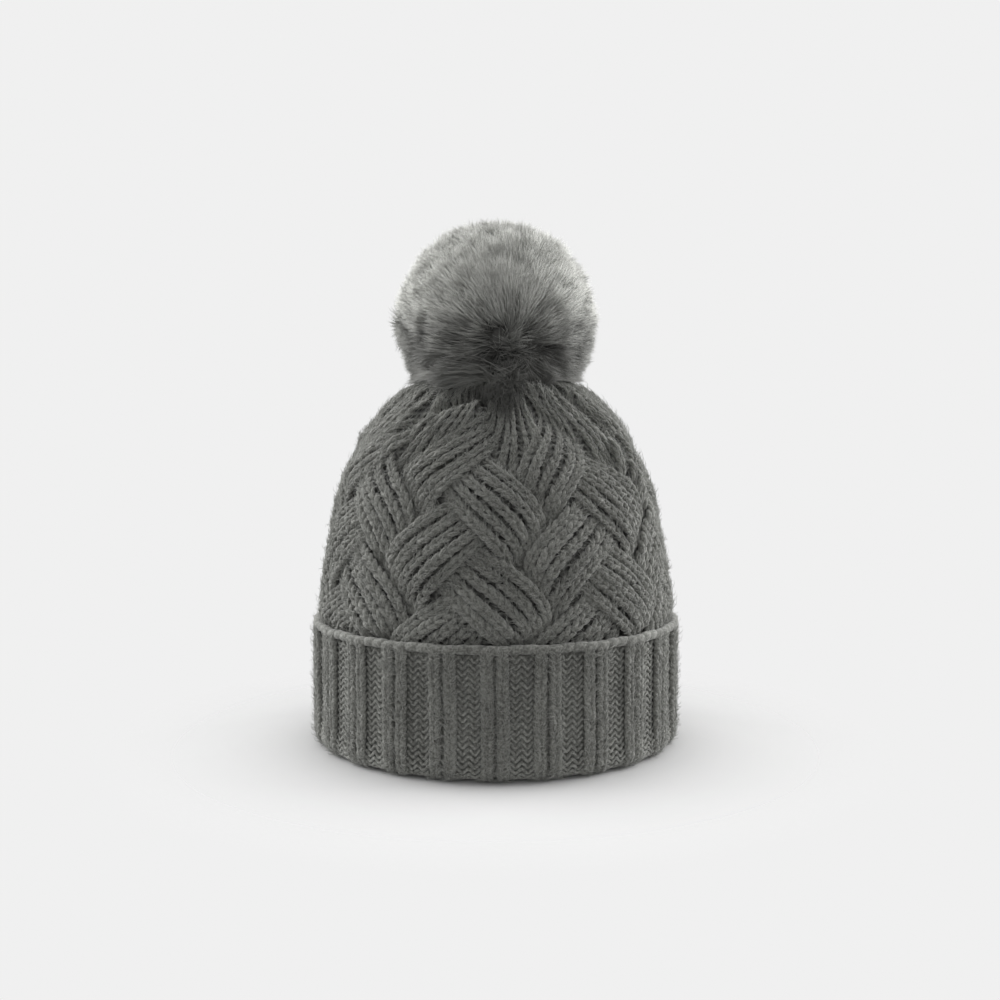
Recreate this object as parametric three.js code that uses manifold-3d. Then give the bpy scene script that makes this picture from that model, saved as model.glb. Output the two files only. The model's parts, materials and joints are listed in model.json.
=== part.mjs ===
// Pom pom beanie: a cable-knit cap with a turned-up ribbed cuff and a fur pom tied to its crown.
// Millimetres, +Z up, the front of the cap faces -Y. The origin is the middle of the hem, on the
// plane that the cap stands on.

import * as THREE from 'three';
import { mergeVertices } from 'three/addons/utils/BufferGeometryUtils.js';
import Module from 'manifold-3d';

const wasm = await Module();
wasm.setup();

// Clearances
const seatGap = 0.3;
const layerGap = 0.45;

// Knit layer and cuff
const knitThickness = 4.6;
const cuffOuterRadius = 94.5;
const cuffHeight = 63;
const rimHeight = 4;
const hemFlatDepth = 0.5;
const foldLegHeight = 9;
const bandTuck = 7;
const ribCount = 24;
const ribDepth = 1.5;

// Cabled body and gathered crown
const bodyRadius = 90.8;
const bodyRise = 122.2;
const cableRepeats = 8;
const cableRowHeight = 44.5;
const firstCableHeight = 17;
const cableDepth = 3;
const pleatCount = 16;
const pleatDepth = 1.9;
const pleatInnerRadius = 14;
const crownHoleRadius = 5.5;

// Fur pom
const pomRadius = 51.5;
const pomCoreRadius = 24;
const backingThickness = 1.2;
const pomNeckRadius = 5;
const pomNeckDrop = 1;
const furNeckRadius = 9;
const furNeckDrop = 1.6;
const furHollowRadius = 30;
const furHollowRise = 0.6;
const furSkirtDrop = 1.2;

// Tie, threads and button
const pivotRise = 5;
const gatherYarnRadius = 0.95;
const gatherThreadRadius = 0.8;
const gatherThreadSpread = 1.5;
const tieStrandRadius = 1;
const tieStrandSpacing = 3;
const buttonRadius = 11;
const buttonThickness = 3;
const buttonRimWidth = 2.2;
const buttonDishDepth = 0.9;
const buttonEdgeRadius = 0.7;
const lowerKnotRadius = 3.6;
const lowerKnotHeight = 4.4;
const lowerKnotWaistRadius = 2.9;
const cutOverrun = 1;

// Body outline above the cuff, as shares of the body's radius and of its rise over the cuff
const bodyProfileShares = [
  { radiusShare: 1, heightShare: 0.041 },
  { radiusShare: 0.98, heightShare: 0.155 },
  { radiusShare: 0.965, heightShare: 0.262 },
  { radiusShare: 0.943, heightShare: 0.368 },
  { radiusShare: 0.903, heightShare: 0.475 },
  { radiusShare: 0.859, heightShare: 0.597 },
  { radiusShare: 0.788, heightShare: 0.72 },
  { radiusShare: 0.717, heightShare: 0.81 },
  { radiusShare: 0.62, heightShare: 0.894 },
  { radiusShare: 0.515, heightShare: 0.958 },
  { radiusShare: 0.35, heightShare: 0.992 },
  { radiusShare: 0.17, heightShare: 1 },
];
const crownLipShare = 0.992;
const reliefFullShare = 0.12;
const pleatStartShare = 0.66;
const pleatFullShare = 0.9;
const ribPhaseShare = 0.25;

// Facet counts
const knitColumns = 96;
const bodyRows = 31;
const liningRows = 8;
const foldSteps = 3;
const rimSteps = 4;
const pomColumns = 32;
const pomRows = 11;
const coreColumns = 20;
const coreRows = 6;
const yarnSides = 5;
const yarnSteps = 18;
const strandSides = 8;
const knotColumns = 12;
const knotSteps = 4;

// Sizes that follow from those above
const cuffInnerRadius = cuffOuterRadius - knitThickness;
const cuffWallTop = cuffHeight - rimHeight;
const bandOuterRadius = cuffInnerRadius - layerGap;
const bandInnerRadius = bandOuterRadius - knitThickness;
const bandTop = cuffWallTop - bandTuck;
const crownTop = cuffHeight + bodyRise;
const crownLip = cuffHeight + bodyRise * crownLipShare;
const crownLipInside = crownLip - knitThickness;
const pivotHeight = crownTop + pivotRise;
const upperKnotRadius = pomNeckRadius - seatGap;
const pomCentre = pivotHeight - pomNeckDrop + Math.sqrt(pomCoreRadius ** 2 - pomNeckRadius ** 2);
const buttonTop = crownLipInside - seatGap;
const buttonDish = buttonTop - buttonThickness + buttonDishDepth;
const strandHalfSpacing = tieStrandSpacing / 2;
// How near the axis the facets of a ball come, as a share of the radius of its corners
const facetShare = Math.cos(Math.PI / coreColumns) * Math.cos(Math.PI / (2 * coreRows));

const looks = {
  knitWool: { color: '#6b6a63', roughness: 0.95, metalness: 0 },
  ribWool: { color: '#66655e', roughness: 0.95, metalness: 0 },
  greyFur: { color: '#8b8a83', roughness: 0.9, metalness: 0 },
  backingCloth: { color: '#55544f', roughness: 0.9, metalness: 0 },
  filling: { color: '#e6e4de', roughness: 1, metalness: 0 },
  tieThread: { color: '#3f3e3a', roughness: 0.8, metalness: 0 },
  buttonPlastic: { color: '#3a3936', roughness: 0.4, metalness: 0 },
};

function mesh(name, geometry, look) {
  const piece = new THREE.Mesh(geometry, new THREE.MeshStandardMaterial(look));
  piece.name = name;
  return piece;
}

// Quads through rings of equal length, outer side upwards; the last ring joins the first
function closedLoft(rings) {
  const count = rings[0].length;
  const positions = rings.flat().flatMap((point) => [point.x, point.y, point.z]);
  const faces = [];
  rings.forEach((ring, row) => {
    const nextRow = (row + 1) % rings.length;
    ring.forEach((point, column) => {
      const nextColumn = (column + 1) % count;
      const a = row * count + column;
      const b = row * count + nextColumn;
      const c = nextRow * count + nextColumn;
      const d = nextRow * count + column;
      faces.push(a, b, c, a, c, d);
    });
  });
  const geometry = new THREE.BufferGeometry();
  geometry.setAttribute('position', new THREE.Float32BufferAttribute(positions, 3));
  geometry.setIndex(faces);
  geometry.computeVertexNormals();
  return geometry;
}

// One ring of knit columns at a radius and height that may change with the angle
function knitRing(place) {
  return Array.from({ length: knitColumns }, (unused, column) => {
    const angle = (2 * Math.PI * (column + 1 / 2)) / knitColumns;
    const { x: radius, y: height } = place(angle);
    return new THREE.Vector3(radius * Math.cos(angle), radius * Math.sin(angle), height);
  });
}

// A turned piece: its outline runs up the outer side and starts and ends on the axis
function turned(outline, columns) {
  return new THREE.LatheGeometry(outline, columns).rotateX(Math.PI / 2);
}

function arcPoints(centre, radius, fromAngle, toAngle, steps) {
  return Array.from({ length: steps + 1 }, (unused, step) => {
    const angle = THREE.MathUtils.lerp(fromAngle, toAngle, step / steps);
    return new THREE.Vector2(
      centre.x + radius.x * Math.cos(angle),
      centre.y + radius.y * Math.sin(angle),
    );
  });
}

function asSolid(geometry) {
  const bare = geometry.clone();
  bare.deleteAttribute('normal');
  bare.deleteAttribute('uv');
  const welded = mergeVertices(bare);
  return new wasm.Manifold(new wasm.Mesh({
    numProp: 3,
    vertProperties: new Float32Array(welded.attributes.position.array),
    triVerts: new Uint32Array(welded.index.array),
  }));
}

function asGeometry(solid) {
  const cut = solid.getMesh();
  const geometry = new THREE.BufferGeometry();
  geometry.setAttribute('position', new THREE.Float32BufferAttribute(cut.vertProperties, 3));
  geometry.setIndex(Array.from(cut.triVerts));
  geometry.computeVertexNormals();
  return geometry;
}

// Two-by-two rib: 0 on its knit columns and 1 on its purl columns, a knit rib facing the front
function ribShare(angle) {
  const phase = (ribCount * (angle + Math.PI / 2)) / (2 * Math.PI) + ribPhaseShare;
  return phase - Math.floor(phase) < 1 / 2 ? 0 : 1;
}

// The cable bands cross like a plain weave: in each diamond one family lies on top, crowned across
// its width and dipping at both ends under the next band
function weaveShare(turns, rows) {
  const rising = turns - rows;
  const falling = turns + rows;
  const offRising = rising - Math.round(rising);
  const offFalling = falling - Math.round(falling);
  const fallingOnTop = (Math.round(rising) + Math.round(falling)) % 2 === 0;
  const across = Math.abs(2 * (fallingOnTop ? offFalling : offRising));
  const along = Math.abs(2 * (fallingOnTop ? offRising : offFalling));
  return (1 - across ** 3) * (1 - along ** 5);
}

// Body outline from its tuck behind the cuff, out over the cuff's rim and up to the crown hole
function bodyOutline() {
  const tuck = [bandTop + seatGap, cuffWallTop, cuffHeight + seatGap].map(
    (height) => new THREE.Vector2(bandOuterRadius, height),
  );
  const dome = bodyProfileShares.map(({ radiusShare, heightShare }) => new THREE.Vector2(
    bodyRadius * radiusShare,
    cuffHeight + bodyRise * heightShare,
  ));
  const lip = new THREE.Vector2(crownHoleRadius, crownLip);
  return new THREE.SplineCurve([...tuck, ...dome, lip]);
}

// Evenly spaced stations along the body outline, each with its length from the cuff's edge
function bodyStations(count) {
  const outline = bodyOutline();
  const total = outline.getLength();
  const tuckLength = cuffHeight - bandTop;
  return Array.from({ length: count }, (unused, index) => {
    const along = index / (count - 1);
    const tangent = outline.getTangentAt(along);
    return {
      point: outline.getPointAt(along),
      inwards: new THREE.Vector2(-tangent.y, tangent.x),
      length: total * along - tuckLength,
    };
  });
}

// How far the knit lies below its crests: woven cables on the sides, gathered pleats on the crown
function knitDip(angle, station) {
  const { point, length } = station;
  const turns = (cableRepeats * (angle + Math.PI / 2)) / (2 * Math.PI);
  const rows = (length - firstCableHeight) / cableRowHeight;
  const riseShare = (point.y - cuffHeight) / bodyRise;
  const raised = THREE.MathUtils.smoothstep(riseShare, 0, reliefFullShare);
  const gathered = THREE.MathUtils.smoothstep(riseShare, pleatStartShare, pleatFullShare);
  const open = THREE.MathUtils.smoothstep(point.x, crownHoleRadius, pleatInnerRadius);
  const weave = cableDepth * (1 - weaveShare(turns, rows));
  const pleat = (pleatDepth * open * (1 - Math.cos(pleatCount * angle))) / 2;
  return raised * THREE.MathUtils.lerp(weave, pleat, gathered);
}

function cableKnitBody() {
  const outer = bodyStations(bodyRows).map((station) => knitRing(
    (angle) => station.point.clone().addScaledVector(station.inwards, knitDip(angle, station)),
  ));
  const lining = bodyStations(liningRows).map(
    ({ point, inwards }) => point.clone().addScaledVector(inwards, knitThickness),
  );
  lining[0] = new THREE.Vector2(bandInnerRadius, bandTop + seatGap);
  lining[lining.length - 1] = new THREE.Vector2(crownHoleRadius, crownLipInside);
  const inner = lining.reverse().map((point) => knitRing(() => point));
  return closedLoft([...outer, ...inner]);
}

// The band's rib shows inside the cap, where its purl columns stand back
function innerRibBand() {
  const foot = foldLegHeight + seatGap;
  const outer = [foot, bandTop].map((height) => knitRing(
    () => new THREE.Vector2(bandOuterRadius, height),
  ));
  const inner = [bandTop, foot].map((height) => knitRing(
    (angle) => new THREE.Vector2(bandInnerRadius + ribDepth * ribShare(angle), height),
  ));
  return closedLoft([...outer, ...inner]);
}

// J-shaped section: outer rib layer, rounded fold cut flat where it stands, and the turned-in leg
function turnedUpCuff() {
  const foldRadius = (cuffOuterRadius - bandInnerRadius) / 2;
  const centre = new THREE.Vector2(cuffOuterRadius - foldRadius, foldRadius - hemFlatDepth);
  const radius = new THREE.Vector2(foldRadius, foldRadius);
  const flatAngle = Math.acos(centre.y / foldRadius);
  const down = (3 * Math.PI) / 2;
  const section = [
    ...arcPoints(centre, radius, Math.PI, down - flatAngle, foldSteps),
    ...arcPoints(centre, radius, down + flatAngle, 2 * Math.PI, foldSteps),
    new THREE.Vector2(cuffOuterRadius, cuffWallTop),
    new THREE.Vector2(cuffInnerRadius, cuffWallTop),
    new THREE.Vector2(cuffInnerRadius, foldLegHeight),
    new THREE.Vector2(bandInnerRadius, foldLegHeight),
  ];
  const flatShare = Math.sin(flatAngle);
  return closedLoft(section.map((point) => {
    const outShare = (point.x - centre.x) / foldRadius;
    const ribbed = point.x > cuffInnerRadius && outShare > flatShare ? outShare : 0;
    return knitRing((angle) => new THREE.Vector2(
      point.x - ribDepth * ribbed * ribShare(angle),
      point.y,
    ));
  }));
}

// Rounded bead along the cuff's upper edge, flat where it sits on the cuff wall
function castOnEdge() {
  const halfWidth = (cuffOuterRadius - cuffInnerRadius) / 2;
  const centre = new THREE.Vector2(cuffInnerRadius + halfWidth, cuffWallTop + seatGap);
  const radius = new THREE.Vector2(halfWidth, cuffHeight - centre.y);
  const section = arcPoints(centre, radius, 0, Math.PI, rimSteps);
  return closedLoft(section.map((point) => {
    const outShare = Math.max(0, (point.x - centre.x) / halfWidth);
    return knitRing((angle) => new THREE.Vector2(
      point.x - ribDepth * outShare * ribShare(angle),
      point.y,
    ));
  }));
}

function yarnRing(ringRadius, yarnRadius, height) {
  return new THREE.TorusGeometry(ringRadius, yarnRadius, yarnSides, yarnSteps)
    .translate(0, 0, height);
}

function crownGatherYarn() {
  const ringRadius = crownHoleRadius - seatGap - gatherYarnRadius;
  return yarnRing(ringRadius, gatherYarnRadius, (crownLip + crownLipInside) / 2);
}

function upright(radius, low, high, sides) {
  return new THREE.CylinderGeometry(radius, radius, high - low, sides)
    .rotateX(Math.PI / 2)
    .translate(0, 0, (low + high) / 2);
}

// One of the two strands from the knot under the button, through the crown, to the pom's knot
function tieStrand(side) {
  const top = pivotHeight - upperKnotRadius - seatGap;
  return upright(tieStrandRadius, buttonDish, top, strandSides)
    .translate(side * strandHalfSpacing, 0, 0);
}

// Dished underneath, rounded at its edges, with a hole for each strand
function anchorButton() {
  const low = buttonTop - buttonThickness;
  const dishRadius = buttonRadius - buttonRimWidth;
  const round = new THREE.Vector2(buttonEdgeRadius, buttonEdgeRadius);
  const edge = buttonRadius - buttonEdgeRadius;
  const outline = [
    new THREE.Vector2(0, buttonDish),
    new THREE.Vector2(dishRadius - buttonDishDepth, buttonDish),
    new THREE.Vector2(dishRadius, low),
    ...arcPoints(new THREE.Vector2(edge, low + buttonEdgeRadius), round, -Math.PI / 2, 0, 2),
    ...arcPoints(new THREE.Vector2(edge, buttonTop - buttonEdgeRadius), round, 0, Math.PI / 2, 2),
    new THREE.Vector2(0, buttonTop),
  ];
  const holes = [-1, 1].map((side) => asSolid(
    upright(tieStrandRadius + seatGap, low - cutOverrun, buttonTop + cutOverrun, strandSides)
      .translate(side * strandHalfSpacing, 0, 0),
  ));
  const disc = asSolid(turned(outline, coreColumns));
  return asGeometry(disc.subtract(holes[0]).subtract(holes[1]));
}

// Two pulled-down turns of the strands under the button
function lowerTieKnot() {
  const top = buttonDish - seatGap;
  const turnHeight = lowerKnotHeight / 2;
  const size = new THREE.Vector2(lowerKnotRadius - lowerKnotWaistRadius, turnHeight / 2);
  const turns = [top - turnHeight * (3 / 2), top - turnHeight / 2].flatMap((height) => arcPoints(
    new THREE.Vector2(lowerKnotWaistRadius, height), size, -Math.PI / 2, Math.PI / 2, knotSteps,
  ));
  const outline = [
    new THREE.Vector2(0, top - lowerKnotHeight),
    ...turns.filter((point, index) => index !== knotSteps),
    new THREE.Vector2(0, top),
  ];
  return turned(outline, knotColumns);
}

// Ball knot that the pom tilts on, centred on the tilt axes
function upperTieKnot() {
  const ball = new THREE.SphereGeometry(upperKnotRadius, knotColumns, knotSteps * 2);
  return ball.rotateX(Math.PI / 2).translate(0, 0, pivotHeight);
}

// Angle, below the pom's middle, at which a ball of one radius reaches a neck of another
function neckAngle(ballRadius, neckRadius) {
  return -Math.acos(neckRadius / ballRadius);
}

function pomBall(radius, fromAngle, toAngle, steps) {
  const points = arcPoints(
    new THREE.Vector2(0, pomCentre), new THREE.Vector2(radius, radius), fromAngle, toAngle, steps,
  );
  return points.map((point) => (Math.cos(Math.asin((point.y - pomCentre) / radius)) < 1e-6
    ? new THREE.Vector2(0, point.y) : point));
}

function pomFur() {
  const top = Math.PI / 2;
  const inside = (pomCoreRadius + seatGap) / facetShare;
  const skirtAngle = Math.asin((pivotHeight - furSkirtDrop - pomCentre) / pomRadius);
  return turned([
    ...pomBall(inside, top, neckAngle(inside, furNeckRadius), coreRows),
    new THREE.Vector2(furNeckRadius, pivotHeight - furNeckDrop),
    new THREE.Vector2(furHollowRadius, pivotHeight + furHollowRise),
    ...pomBall(pomRadius, skirtAngle, top, pomRows),
  ], pomColumns);
}

function pomBacking() {
  const top = Math.PI / 2;
  const inside = pomCoreRadius - backingThickness;
  return turned([
    ...pomBall(inside, top, neckAngle(inside, pomNeckRadius), coreRows),
    ...pomBall(pomCoreRadius, neckAngle(pomCoreRadius, pomNeckRadius), top, coreRows),
  ], coreColumns);
}

// Filling that rests in the backing and stops above the knot
function pomFilling() {
  const radius = (pomCoreRadius - backingThickness) * facetShare - seatGap;
  const low = pivotHeight + upperKnotRadius + seatGap;
  return turned([
    new THREE.Vector2(0, low),
    ...pomBall(radius, Math.asin((low - pomCentre) / radius), Math.PI / 2, coreRows),
  ], coreColumns);
}

// Thread that draws the backing's neck in, lying against the backing
function pomGatherThread() {
  const ringRadius = pomNeckRadius + gatherThreadSpread;
  const reach = pomCoreRadius + seatGap + gatherThreadRadius;
  return yarnRing(ringRadius, gatherThreadRadius, pomCentre - Math.sqrt(reach ** 2 - ringRadius ** 2));
}

const cap = new THREE.Group();
cap.add(
  mesh('cable_knit_body', cableKnitBody(), looks.knitWool),
  mesh('inner_rib_band', innerRibBand(), looks.ribWool),
  mesh('turned_up_cuff', turnedUpCuff(), looks.ribWool),
  mesh('cast_on_edge', castOnEdge(), looks.ribWool),
  mesh('crown_gather_yarn', crownGatherYarn(), looks.knitWool),
);

const tie = new THREE.Group();
tie.add(
  mesh('tie_strand_left', tieStrand(-1), looks.tieThread),
  mesh('tie_strand_right', tieStrand(1), looks.tieThread),
  mesh('anchor_button', anchorButton(), looks.buttonPlastic),
  mesh('lower_tie_knot', lowerTieKnot(), looks.tieThread),
  mesh('upper_tie_knot', upperTieKnot(), looks.tieThread),
);

const pom = new THREE.Group();
pom.add(
  mesh('pom_fur', pomFur(), looks.greyFur),
  mesh('pom_backing', pomBacking(), looks.backingCloth),
  mesh('pom_filling', pomFilling(), looks.filling),
  mesh('pom_gather_thread', pomGatherThread(), looks.tieThread),
);

const beanie = new THREE.Group();
beanie.add(cap, tie, pom);

export default beanie;
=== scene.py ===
import json
import math

import bpy
import numpy as np
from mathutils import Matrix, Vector

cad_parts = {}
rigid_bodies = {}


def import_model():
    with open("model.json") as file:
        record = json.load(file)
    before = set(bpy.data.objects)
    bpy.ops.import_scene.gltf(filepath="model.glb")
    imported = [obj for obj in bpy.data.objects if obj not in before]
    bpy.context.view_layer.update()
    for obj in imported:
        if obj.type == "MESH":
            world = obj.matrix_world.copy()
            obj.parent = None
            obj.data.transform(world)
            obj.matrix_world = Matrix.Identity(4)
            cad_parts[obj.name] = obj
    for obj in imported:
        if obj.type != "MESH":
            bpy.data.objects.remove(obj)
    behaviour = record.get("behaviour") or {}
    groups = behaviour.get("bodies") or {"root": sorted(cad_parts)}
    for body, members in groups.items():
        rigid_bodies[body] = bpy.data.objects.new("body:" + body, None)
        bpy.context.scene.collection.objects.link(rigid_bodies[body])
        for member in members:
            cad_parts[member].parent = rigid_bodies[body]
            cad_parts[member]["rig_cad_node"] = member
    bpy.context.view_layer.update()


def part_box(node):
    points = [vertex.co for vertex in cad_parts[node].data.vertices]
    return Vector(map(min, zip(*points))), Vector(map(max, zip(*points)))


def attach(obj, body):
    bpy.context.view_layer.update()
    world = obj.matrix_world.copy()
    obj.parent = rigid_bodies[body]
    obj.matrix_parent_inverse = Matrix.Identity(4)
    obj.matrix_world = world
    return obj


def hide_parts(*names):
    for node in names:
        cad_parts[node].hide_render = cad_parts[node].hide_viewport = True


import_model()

bl_info = {
    "name": "Pom Pom Beanie",
    "version": (1, 0, 0),
    "blender": (4, 5, 0),
    "location": "3D View > Sidebar > Beanie",
    "description": "Knits a cabled beanie with a ribbed cuff and ties a fur pom to its crown",
    "category": "Add Mesh",
}

MM = 0.001
CUFF_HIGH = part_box("turned_up_cuff")[1]
RIM_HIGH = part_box("cast_on_edge")[1]
BODY_LOW, BODY_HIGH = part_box("cable_knit_body")
BAND_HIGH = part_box("inner_rib_band")[1]
FUR_LOW, FUR_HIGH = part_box("pom_fur")
KNOT_LOW, KNOT_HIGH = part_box("upper_tie_knot")
LOWER_KNOT_LOW, LOWER_KNOT_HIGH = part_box("lower_tie_knot")
YARN_LOW, YARN_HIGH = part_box("crown_gather_yarn")
THREAD_LOW, THREAD_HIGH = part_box("pom_gather_thread")
CORE_LOW, CORE_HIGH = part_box("pom_backing")
FILLING_LOW, FILLING_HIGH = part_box("pom_filling")
PIVOT_HEIGHT = (KNOT_LOW[2] + KNOT_HIGH[2]) / 2

# Thickness of the inner band, rise of the fold's round, depth of the ground and of its wrong side
# under the body's crests, and how high a body stitch arches
BAND_WALL = 4.6 * MM
FOLD_RISE = 8 * MM
GROUND_DEPTH = 5.6 * MM
GROUND_BACK = 6.8 * MM
STITCH_ARCH = 0.95 * MM

# The wales end this far from the crown's hole, draw together over these lengths, and stay within
# these shares of their width and over this width
CROWN_MARGIN = 12 * MM
DRAWN_LENGTHS = (72 * MM, 122 * MM)
DRAWN_WIDTHS = (0.35, 1.7)
THINNEST_WALE = 2.7 * MM
STITCHES_PER_RIB = 4
SHELL_COLUMNS = 192
RING_STEPS = 72
PLY_SIDES = 6
OUTLINE_STEPS = 40

# Body outline above the cuff, as shares of the body's radius and of its rise over the cuff
BODY_PROFILE_SHARES = (
    (1.0, 0.041), (0.98, 0.155), (0.965, 0.262), (0.943, 0.368), (0.903, 0.475), (0.859, 0.597),
    (0.788, 0.72), (0.717, 0.81), (0.62, 0.894), (0.515, 0.958), (0.35, 0.992), (0.17, 1.0),
)
HOLE_RISE_SHARE = 0.992


def size(name, description, default):
    return bpy.props.FloatProperty(
        name=name, description=description, default=default, min=0.0, unit="LENGTH", precision=5,
    )


def share(name, description, default):
    return bpy.props.FloatProperty(
        name=name, description=description, default=default, soft_min=0.0, soft_max=1.0,
        subtype="FACTOR",
    )


def slant(name, description, degrees):
    return bpy.props.FloatProperty(
        name=name, description=description, default=math.radians(degrees), subtype="ANGLE",
    )


def whole(name, description, default):
    return bpy.props.IntProperty(name=name, description=description, default=default, min=1)


def colour(name, description, default):
    return bpy.props.FloatVectorProperty(
        name=name, description=description, default=(*default, 1.0), size=4, subtype="COLOR",
        min=0.0, max=1.0,
    )


class BeanieKnitSizes(bpy.types.PropertyGroup):
    """Sizes of the knitted cap"""

    body_radius: size("Body radius", "Widest radius of the cabled body", 90.8 * MM)
    crown_hole: size("Crown hole", "Radius of the gathered hole in the crown", 5.5 * MM)
    cable_repeats: whole("Cable repeats", "Pattern repeats round the body", 8)
    cable_row: size("Cable row", "Height of one repeat of the woven cables", 44.3 * MM)
    first_cable: size("First cable", "Middle of the first falling diamonds over the cuff", 17.5 * MM)
    strands: whole("Strands", "Wales side by side in one cable band", 5)
    strand_shift: size("Strand shift", "Sideways distance between strand middles", 4.9 * MM)
    strand_drop: size("Strand drop", "Upright distance between strand middles", 4.4 * MM)
    wale_width: size("Wale width", "Width of a wale across its two legs", 6.6 * MM)
    cable_pitch: size("Cable pitch", "Length of one stitch along a cable strand", 4.2 * MM)
    turn: slant("Pattern turn", "Angle of the pattern from the front", 1.2)
    cable_depth: size("Cable depth", "Rise of a band from its ends to its middle", 4.1 * MM)
    body_tail: size("Body tail", "How far the body's ground goes on behind the inner band", 6 * MM)
    arch: share("Arch", "How far a band bows, upright at its foot and flatter at its head", 0.36)
    front_draw: share("Front draw", "How far the crown's wales draw together at the front", 0.52)
    front_turn: slant("Front turn", "Angle from the front at which the crown's wales draw together", 9.0)
    rib_count: whole("Rib count", "Ribs round the cuff", 24)
    rib_row: size("Rib row", "Height of one row of the cuff", 3.02 * MM)
    rib_wale: size("Rib wale", "Width of one knit wale of the cuff", 7.3 * MM)
    trough_depth: size("Trough depth", "Depth of the purl columns below the knit ribs", 2.8 * MM)


class BeaniePomSizes(bpy.types.PropertyGroup):
    """Sizes of the fur pom"""

    hairs: whole("Hairs", "Hairs in each tuft piece", 9000)
    tuft_pieces: whole("Tuft pieces", "Pieces that share the hairs", 8)
    locks: whole("Locks", "Locks that the hairs draw together in", 900)
    hair_width: size("Hair width", "Width of a hair at its root", 0.42 * MM)
    pile_root: size("Pile root", "Radius at which the hairs leave the dense underfur", 35 * MM)
    underfur: size("Underfur", "Radius of the dense underfur", 40 * MM)
    sweep: share("Sweep", "How far the pile leans away from its parting", 0.42)
    drawing: share("Drawing", "How far hairs draw towards the tip of their lock", 0.45)
    overhang: size("Overhang", "How far the lowest pile lies out over the crown", 19 * MM)


class BeanieColours(bpy.types.PropertyGroup):
    """Colours of the yarn, fur and small pieces"""

    wool: colour("Wool", "Main colour of the yarn", (0.108, 0.109, 0.099))
    wool_light: colour("Wool light", "Pale fibres in the yarn", (0.3, 0.304, 0.28))
    # Loose fibres lie on the strands' crests; their pale colour is partly their own and partly a painted
    # highlight
    fuzz: colour("Fuzz", "Colour of the loose fibres", (0.3, 0.304, 0.28))
    # The fur's root colour is painted dark for the shade deep in the pile, its tip colour pale for the light
    # on the tips
    fur_root: colour("Fur root", "Colour of the pile at its roots", (0.06, 0.06, 0.056))
    fur_tip: colour("Fur tip", "Colour of the pile at its tips", (0.72, 0.725, 0.684))
    thread: colour("Thread", "Colour of the tie thread", (0.05, 0.05, 0.046))
    button: colour("Button", "Colour of the anchor button", (0.05, 0.05, 0.046))
    backing: colour("Backing", "Colour of the fur's backing cloth", (0.07, 0.07, 0.065))
    filling: colour("Filling", "Colour of the filling", (0.75, 0.74, 0.71))
    backdrop: colour("Backdrop", "Colour that the floor fades into", (0.871, 0.871, 0.871))


class BeanieStageSizes(bpy.types.PropertyGroup):
    """Camera and light"""

    camera_distance: size("Camera distance", "Camera to the middle of the cap", 640 * MM)
    camera_height: size("Camera height", "Camera over the floor", 167.5 * MM)
    camera_right: size("Camera right", "Camera to the right of the middle", 2.2 * MM)
    lens: bpy.props.FloatProperty(
        name="Lens", description="Focal length", default=44.56, unit="CAMERA",
    )
    pitch: slant("Pitch", "Camera tilt below level", 4.08)


class TurnedSurface:
    """Puts an angle from the front, a length along an outline and a height over it in space"""

    def __init__(self, radii, heights, start, relief=None, drawn=0.0, span=(0.0, 1.0), front=0.0):
        self.radii = np.asarray(radii)
        self.heights = np.asarray(heights)
        step = np.hypot(np.diff(self.radii), np.diff(self.heights))
        self.lengths = np.concatenate([[0.0], np.cumsum(step)]) - start
        along = np.stack([np.gradient(self.radii), np.gradient(self.heights)])
        along /= np.linalg.norm(along, axis=0)
        self.out_radial, self.out_up = along[1], -along[0]
        self.relief = relief
        self.drawn, self.span, self.front = drawn, span, front

    def radius(self, length):
        return np.interp(length, self.lengths, self.radii)

    def spacing(self, angle, length):
        """How far apart neighbours stand where the crown is drawn together at the front"""
        return 1 - self.drawn * np.cos(angle - self.front) * smooth_step(length, *self.span)

    def place(self, angle, length, height):
        angle = angle - self.drawn * np.sin(angle - self.front) * smooth_step(length, *self.span)
        if self.relief is not None:
            height = height + self.relief(angle, length)
        out_radial = np.interp(length, self.lengths, self.out_radial)
        out_up = np.interp(length, self.lengths, self.out_up)
        radius = self.radius(length) + height * out_radial
        rise = np.interp(length, self.lengths, self.heights) + height * out_up
        points = np.stack([radius * np.sin(angle), -radius * np.cos(angle), rise], axis=-1)
        normals = np.stack(
            [out_radial * np.sin(angle), -out_radial * np.cos(angle), out_up + 0 * angle], axis=-1
        )
        return points, normals


def smooth_step(value, low, high):
    share_done = np.clip((value - low) / (high - low), 0.0, 1.0)
    return share_done * share_done * (3 - 2 * share_done)


def rise_and_fall(value, low, full, falling, gone):
    """Rises from 0 to 1 between the first two places and falls back between the last two"""
    return smooth_step(value, low, full) * (1 - smooth_step(value, falling, gone))


def through_points(points, samples):
    """A smooth outline through a short list of points"""
    points = np.asarray(points, dtype=float)
    first = 2 * points[0] - points[1]
    last = 2 * points[-1] - points[-2]
    rows = np.vstack([first, points, last])
    spans = []
    share_done = np.linspace(0, 1, samples, endpoint=False)[:, None]
    for a, b, c, d in zip(rows, rows[1:], rows[2:], rows[3:]):
        spans.append(
            ((2 * b) + (c - a) * share_done + (2 * a - 5 * b + 4 * c - d) * share_done**2
             + (3 * b - a - 3 * c + d) * share_done**3) / 2
        )
    return np.vstack([*spans, points[-1:]])


# Crown tucks: angles from the front, lengths over the cuff there, lift below, sink above, its width
# and the roll beyond it
CROWN_TUCKS = (
    ((16.0, 34.5, 48.0, 64.0, 74.0), (143.0, 119.5, 99.5, 72.5, 55.0), 3.8, 7.0, 9.0, 0.0),
    ((-52.0, -34.5, -23.0, -10.8, 2.0), (90.0, 103.7, 110.2, 116.1, 122.0), 4.4, 10.0, 3.6, 1.5),
)
TUCK_RADIUS = 62 * MM
TUCK_FADE = 0.2


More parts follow.
